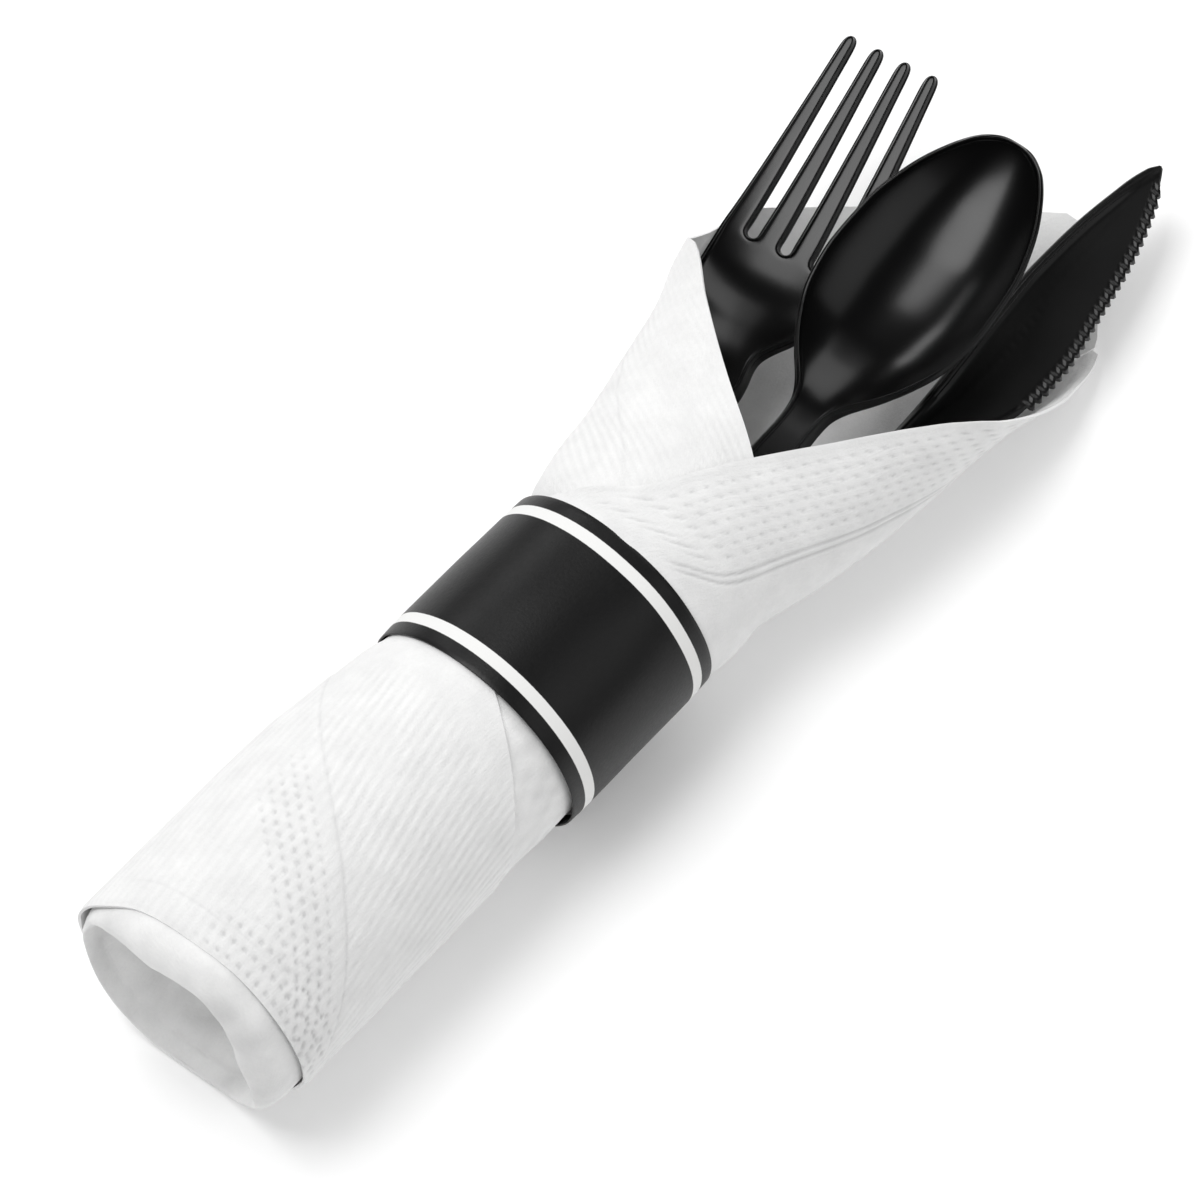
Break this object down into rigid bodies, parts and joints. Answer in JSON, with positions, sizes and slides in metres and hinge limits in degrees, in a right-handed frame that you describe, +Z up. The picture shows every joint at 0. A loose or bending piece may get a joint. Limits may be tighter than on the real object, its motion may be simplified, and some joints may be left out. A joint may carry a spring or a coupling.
{
  "type": "plastic cutlery pack",
  "caption": "Black plastic fork, spoon and knife rolled in a white embossed paper napkin that a black paper band with white edge lines holds shut.",
  "frame": {"origin": "centre of the bounding box at the surface that the roll lies on", "axes": "+X along the roll towards the heads of the cutlery, +Z up, +Y to the fork's side"},
  "size_m": [0.2587, 0.0761, 0.0488],
  "materials": {
    "fork": "satin-gloss black injection-moulded polystyrene",
    "spoon": "satin-gloss black injection-moulded polystyrene",
    "knife": "satin black injection-moulded polystyrene",
    "napkin": "soft white tissue embossed with rows of fine dots",
    "band": "satin black printed paper with two white edge lines"
  },
  "bodies": {
    "root": {"fork": "fork", "spoon": "spoon", "knife": "knife", "napkin": "napkin", "napkin_band": "band"}
  },
  "joints": []
}
